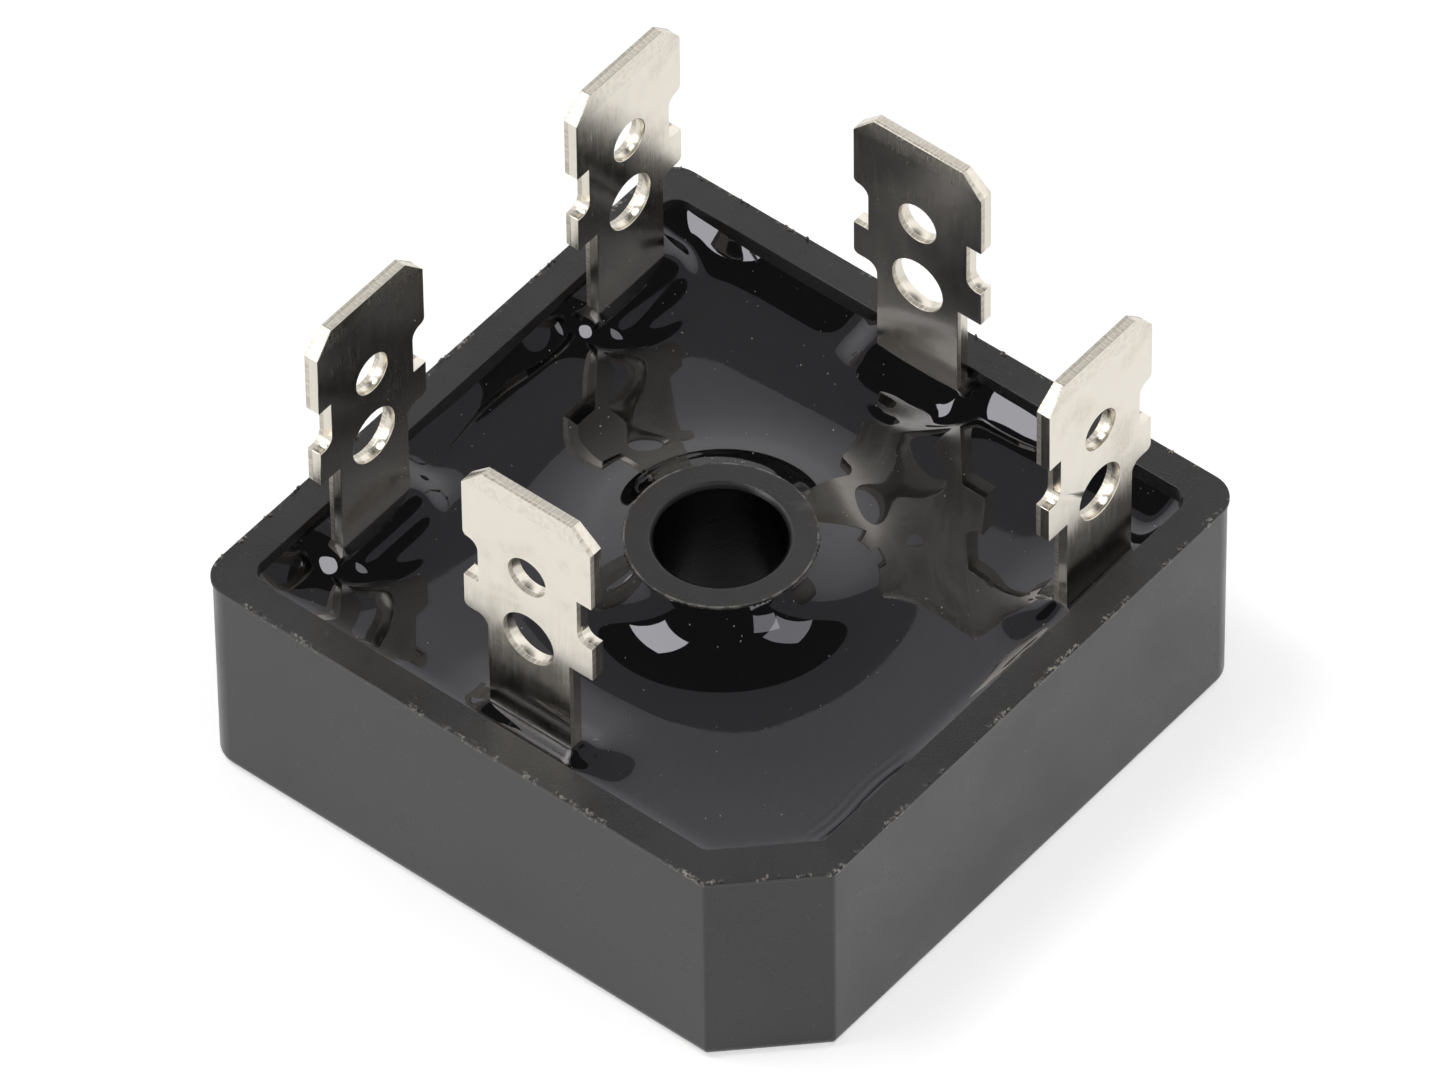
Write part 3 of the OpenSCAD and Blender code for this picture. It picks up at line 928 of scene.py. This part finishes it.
@dataclass
class ResinPool:
    """The cast filling, whose surface creeps up everything that stands in it.

    The slanted wall is where X - Y equals slant. The resin has crept further up the left and back
    walls at a few thick places, given in millimetres along the wall.
    """

    pocket_half: float = 12.9 * MM
    slant: float = 22.596 * MM
    tube_radius: float = TUBE_RADIUS
    level: float = 8.72 * MM
    step: float = 0.1 * MM
    leg_half: float = 2.0 * MM
    leg_thick_half: float = 0.325 * MM
    dome_radius: float = 2.8 * MM
    dome_edge: float = 0.35 * MM
    foot_edge: float = 0.45 * MM
    brim: float = 10.05 * MM
    blend: float = 1.25
    skirt_climb: float = 0.4 * MM
    left_thick_mm: tuple[float, ...] = (-11.3, -2.9, 4.4)
    back_thick_mm: tuple[float, ...] = (-11.3, 4.4)
    thick_width_mm: float = 1.9
    thick_gain: float = 0.4
    wobble_mm: float = 0.0012
    overlap: float = 0.01 * MM
    sharpest: float = 75
    walls: Meniscus = field(default_factory=lambda: Meniscus(19, 1.15 * MM, 0.28 * MM))
    front_walls: Meniscus = field(default_factory=lambda: Meniscus(30, 0.75 * MM, 0.16 * MM))
    film: Meniscus = field(default_factory=lambda: Meniscus(2.2, 4.8 * MM, 0.6 * MM))
    front_film: Meniscus = field(default_factory=lambda: Meniscus(1.5, 4.0 * MM, 1.1 * MM))
    skirt: Meniscus = field(default_factory=lambda: Meniscus(8, 2.3 * MM, 0.25 * MM))
    tube: Meniscus = field(default_factory=lambda: Meniscus(36, 1.85 * MM, 0.7 * MM))
    run: StreakyRun = field(default_factory=StreakyRun)
    finish: CastEpoxy = field(default_factory=CastEpoxy)

    def surface(self, x: np.ndarray, y: np.ndarray, blades: list[Blade]) -> np.ndarray:
        """Height of the resin surface.

        Args:
            x: X of each point in metres.
            y: Y of each point in metres.
            blades: Blades that stand in the resin.

        Returns:
            Z of each point in metres.
        """
        rises = np.zeros_like(x)
        half = self.pocket_half
        for gap in (half - x, half + y, (self.slant - x + y) / math.sqrt(2)):
            rises += (self.front_walls.height(gap) + self.front_film.height(gap)) ** self.blend
        for gap, along, thick in ((half + x, y, self.left_thick_mm), (half - y, x, self.back_thick_mm)):
            humps = (np.exp(-(((along / MM - middle) / self.thick_width_mm) ** 2)) for middle in thick)
            more = 1 + self.thick_gain * sum(humps)
            rises += (more * self.walls.height(gap) + self.film.height(gap)) ** self.blend
        dome = np.zeros_like(x)
        for blade in blades:
            mid = blade.middle()
            wide, thin = self.leg_half, self.leg_thick_half
            across = (thin, wide) if blade.facing is Facing.X else (wide, thin)
            dx = np.maximum(np.abs(x - mid.x) - across[0], 0.0)
            dy = np.maximum(np.abs(y - mid.y) - across[1], 0.0)
            away = np.hypot(dx, dy)
            foot = blade.climb * inside((away - blade.foot) / self.foot_edge)
            rises += (foot + blade.climb / self.skirt_climb * self.skirt.height(away)) ** self.blend
            dome += blade.dome * inside((np.hypot(x - mid.x, y - mid.y) - self.dome_radius) / self.dome_edge)
        round_tube = self.tube.height(np.hypot(x, y) - self.tube_radius)
        crept = np.hypot(rises ** (1 / self.blend), round_tube)
        return np.minimum(self.level + crept + dome + self.unevenness(x, y), self.brim)

    def unevenness(self, x: np.ndarray, y: np.ndarray) -> np.ndarray:
        """Give the height of the streaky run and of a faint wobble, in metres."""
        wobble = np.sin(x / (0.9 * MM) + 1.3 * np.sin(y / (1.7 * MM))) * np.sin(y / (1.1 * MM) + 0.8)
        return self.wobble_mm * MM * wobble + self.run.height(self.pocket_half - x, y) * MM

    def build(self, blades: list[Blade]) -> bpy.types.Object:
        """Build the filling as one closed body.

        Args:
            blades: Blades that stand in the resin.

        Returns:
            The finished piece.
        """
        count = 2 * int(self.pocket_half / self.step) + 5
        line = (np.arange(count) - (count - 1) / 2) * self.step
        x, y = np.meshgrid(line, line, indexing="ij")
        spare, snap, nonzero = 0.75 * self.step, 0.3 * self.step, 1e-12
        wet = (x - y < self.slant + spare * math.sqrt(2)) & (np.hypot(x, y) > self.tube_radius - spare)
        wet &= (np.abs(x) < self.pocket_half + spare) & (np.abs(y) < self.pocket_half + spare)
        keep = wet[:-1, :-1] & wet[1:, :-1] & wet[:-1, 1:] & wet[1:, 1:]
        used = np.zeros_like(wet)
        for di in (0, 1):
            for dj in (0, 1):
                used[di : count - 1 + di, dj : count - 1 + dj] |= keep

        # The outermost points slide into the walls by the overlap, so that the sides are true.
        limit = self.pocket_half + self.overlap
        x, y = (np.clip(v, -limit, limit) for v in (x, y))
        excess = (x - y - self.slant) / 2
        past = excess > -snap
        x = np.where(past, x - excess + self.overlap, x)
        y = np.where(past, y + excess - self.overlap, y)
        radius = np.hypot(x, y) + nonzero
        onto_tube = (self.tube_radius - self.overlap) / radius
        pull = np.where(radius < self.tube_radius + snap, onto_tube, 1.0)
        x, y = x * pull, y * pull

        z = self.surface(x, y, blades)
        index = np.full(x.shape, -1)
        index[used] = np.arange(used.sum())
        work = bmesh.new()
        verts = [work.verts.new(place) for place in np.stack([x[used], y[used], z[used]], 1).tolist()]
        for i, j in zip(*np.nonzero(keep)):
            ring = (index[i, j], index[i + 1, j], index[i + 1, j + 1], index[i, j + 1])
            work.faces.new([verts[k] for k in ring])
        rim = [edge for edge in work.edges if edge.is_boundary]
        skirt = bmesh.ops.extrude_edge_only(work, edges=rim)["geom"]
        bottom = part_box("resin_filling")[0].z
        for vert in skirt:
            if isinstance(vert, bmesh.types.BMVert):
                vert.co.z = bottom
        foot = [edge for edge in skirt if isinstance(edge, bmesh.types.BMEdge) and edge.is_boundary]
        bmesh.ops.triangle_fill(work, edges=foot, use_beauty=True)
        bmesh.ops.recalc_face_normals(work, faces=work.faces)
        mesh = bpy.data.meshes.new("resin_surface")
        work.to_mesh(mesh)
        work.free()
        item = link("cast_resin", mesh)
        settle(item, self.finish.build())
        item.data.shade_smooth()
        item.data.set_sharp_from_angle(angle=math.radians(self.sharpest))
        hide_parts("resin_filling")
        return item


@dataclass
class InnerStack:
    """Base plate, substrate, foils, chips and straps, dressed where they are."""

    plate: SheetMetal = SheetMetal("rolled_aluminium", "#c4c6c8", "#a9abad", 0.34)
    foil: SheetMetal = SheetMetal("bonded_copper_foil", "#c98563", "#a9694b", 0.3)
    strap: SheetMetal = SheetMetal("stamped_copper", "#c07c5a", "#9b6044", 0.32)
    sheet: DenseCeramic = DenseCeramic("unglazed_alumina", "#ece9df", "#dcd8cb", 0.6)
    chip: DenseCeramic = DenseCeramic("passivated_silicon", "#43474d", "#33363b", 0.25, grain_mm=0.3)

    def build(self) -> None:
        """Give each inner solid its finish."""
        finishes = {
            "base_plate": self.plate.build(),
            "foil": self.foil.build(),
            "strap": self.strap.build(),
            "substrate": self.sheet.build(),
            "diode": self.chip.build(),
        }
        for name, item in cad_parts.items():
            for key, material in finishes.items():
                if key in name:
                    item.data.materials.clear()
                    item.data.materials.append(material)
                    log.info("%s: dressed as %s", name, material.name)


@dataclass
class Softbox:
    """One flat studio lamp, in metres and degrees, that looks at the part.

    Its width runs as nearly towards width_azimuth as its tilt lets it. A lamp that isn't mirrored
    stays out of reflections, and one that doesn't cast shows in reflections only.
    """

    name: str
    towards: tuple[float, float, float]
    distance: float
    width: float
    height: float
    radiance: float
    width_azimuth: float
    mirrored: bool = True
    cast: bool = True

    def build(self) -> None:
        """Place the lamp so that it looks at the part."""
        lamp = bpy.data.lights.new(self.name, "AREA")
        lamp.shape = "RECTANGLE"
        lamp.size = self.width
        lamp.size_y = self.height
        lamp.energy = WATTS_PER_RADIANCE * self.radiance * self.width * self.height
        item = bpy.data.objects.new(self.name, lamp)
        away = Vector(self.towards).normalized()
        angle = math.radians(self.width_azimuth)
        side = Vector((math.cos(angle), math.sin(angle), 0))
        side = (side - away * side.dot(away)).normalized()
        turned = Matrix((side, away.cross(side), away)).transposed().to_4x4()
        item.matrix_world = Matrix.Translation(away * self.distance) @ turned
        item.visible_camera = False
        item.visible_glossy = self.mirrored
        item.visible_diffuse = self.cast
        bpy.context.scene.collection.objects.link(item)
        log.info("%s: lamp", self.name)


@dataclass
class Studio:
    """Paper tent, lamps and camera."""

    azimuth: float = 39.656
    elevation: float = 47.607
    roll: float = -0.735
    distance: float = 653.932 * MM
    shift_right: float = -0.123 * MM
    shift_up: float = 6.612 * MM
    lens: float = 420.075
    radius: float = 1.25
    fillet: float = 0.3
    paper_rise: float = 48.6
    card_rise: float = 58.0
    gap: float = 0.02 * MM
    around: int = 96
    centre_share: float = 0.2
    floor_rings: int = 6
    bend_rings: int = 8
    wall_rings: int = 4
    room: tuple[float, float, float, float] = (0.1, 0.1, 0.101, 1.0)

    def wall(self, name: str, profile: list[tuple[float, float]], material: bpy.types.Material) -> None:
        """Turn a profile round the part as a stage piece.

        Args:
            name: Name of the piece.
            profile: Radius and height of each ring, from the inside out.
            material: Its material.
        """
        around = self.around
        verts = []
        for radius, height in profile:
            for n in range(around):
                angle = 2 * math.pi * n / around
                verts.append((radius * math.cos(angle), radius * math.sin(angle), height - self.gap))
        faces = []
        for k in range(len(profile) - 1):
            for n in range(around):
                a, b = k * around + n, k * around + (n + 1) % around
                faces.append((a, a + around, b + around, b))
        if profile[0][0] < self.radius:
            faces.append(tuple(range(around)))
        mesh = bpy.data.meshes.new(name)
        mesh.from_pydata(verts, [], faces)
        mesh.materials.append(material)
        mesh.shade_smooth()
        link(name, mesh)
        log.info("%s: stage", name)

    def tent(self) -> None:
        """Build the white floor that curves up into a wall, and the grey card above it."""
        paper_top = self.radius * math.tan(math.radians(self.paper_rise))
        card_top = self.radius * math.tan(math.radians(self.card_rise))
        flat = self.radius - self.fillet
        rings, bends, walls = self.floor_rings, self.bend_rings, self.wall_rings
        profile = [(flat * k / rings, 0.0) for k in (self.centre_share, *range(1, rings + 1))]
        for k in range(1, bends + 1):
            bend = math.radians(90 * k / bends)
            profile.append((flat + self.fillet * math.sin(bend), self.fillet * (1 - math.cos(bend))))
        upright = paper_top - self.fillet
        profile += [(self.radius, self.fillet + upright * k / walls) for k in range(1, walls + 1)]
        paper = StudioCard("white_paper", "#f4f4f4", "#f7f7f6", 0.62, 1.15, 0.72)
        card = StudioCard("grey_card", "#8c8c8c", "#919191", 0.43, 0.43, 1.0)
        self.wall("paper_sweep", profile, paper.build())
        self.wall("card_band", [(self.radius, paper_top), (self.radius, card_top)], card.build())

    def lights(self) -> None:
        """Place the lamps and set the room's dim grey."""
        # Each row: name, direction, distance, width, height, radiance, azimuth of the width.
        lamps = [
            Softbox("left_softbox", (-0.28, -0.22, 0.93), 0.95, 0.3, 0.26, 6.0, -45),
            Softbox("right_softbox", (0.315, 0.245, 0.917), 0.95, 0.21, 0.3, 2.3, 31),
            Softbox("right_pane", (0.414, 0.058, 0.91), 0.95, 0.12, 0.2, 2.3, -15),
            Softbox("low_softbox", (-0.54, -0.655, 0.53), 1.1, 1.0, 0.42, 3.0, -39.5, cast=False),
            Softbox("fill", (0.0, -0.1, 1.0), 1.2, 1.2, 1.2, 0.3, 0, mirrored=False),
        ]
        for lamp in lamps:
            lamp.build()
        world = bpy.data.worlds.new("room")
        world.use_nodes = True
        world.node_tree.nodes["Background"].inputs["Color"].default_value = self.room
        bpy.context.scene.world = world

    def camera(self) -> None:
        """Place the camera at the standing viewer's angle."""
        a, e, r = (math.radians(v) for v in (self.azimuth, self.elevation, self.roll))
        back = Vector((math.sin(a) * math.cos(e), -math.cos(a) * math.cos(e), math.sin(e)))
        right = Vector((math.cos(a), math.sin(a), 0))
        up = back.cross(right)
        right, up = math.cos(r) * right + math.sin(r) * up, math.cos(r) * up - math.sin(r) * right
        lens = bpy.data.cameras.new("camera")
        lens.lens = self.lens
        lens.sensor_width = 36.0
        lens.clip_start = 0.01
        lens.clip_end = 10.0
        item = bpy.data.objects.new("camera", lens)
        place = back * self.distance + right * self.shift_right + up * self.shift_up
        item.matrix_world = Matrix.Translation(place) @ Matrix((right, up, back)).transposed().to_4x4()
        bpy.context.scene.collection.objects.link(item)
        bpy.context.scene.camera = item

    def build(self) -> None:
        """Build camera, paper and lamps."""
        self.camera()
        self.tent()
        self.lights()
        bpy.context.scene.view_settings.view_transform = "Standard"


def main() -> None:
    """Build the dressed part and its studio."""
    logging.basicConfig(level=logging.INFO, format="%(message)s")
    Studio().build()
    MouldedCase().build()
    plating = NickelPlatedBrass()
    blades = [
        Blade("terminal_a", Facing.X, 0.28 * MM, 1.0 * MM, 0.08 * MM),
        Blade("terminal_b", Facing.X, 0.28 * MM, 1.0 * MM, 0.08 * MM),
        Blade("terminal_c", Facing.Y, 0.26 * MM, 0.9 * MM, 0.08 * MM),
        Blade("terminal_plus", Facing.Y, 0.26 * MM, 0.5 * MM, 0.0),
        Blade("terminal_minus", Facing.X, 0.26 * MM, 0.5 * MM, 0.0),
    ]
    pieces = [blade.build(plating) for blade in blades]
    pool = ResinPool().build(blades)
    InnerStack().build()
    dust = LooseGrit("settled_dust", "#d6d3cc", "#96938c").build()
    on_resin = Scatter("dust_on_resin", 450_000, 0.04, 23, patch_mm=4.0, cover=0.55)
    on_resin.build(pool.data.copy(), dust, "ceramic_sheet")
    for seed, piece in enumerate(pieces[:3], 41):
        on_blade = Scatter(f"dust_on_{piece.name}", 260_000, 0.035, seed)
        on_blade.build(piece.data.copy(), dust, "ceramic_sheet")


if __name__ == "__main__":
    main()
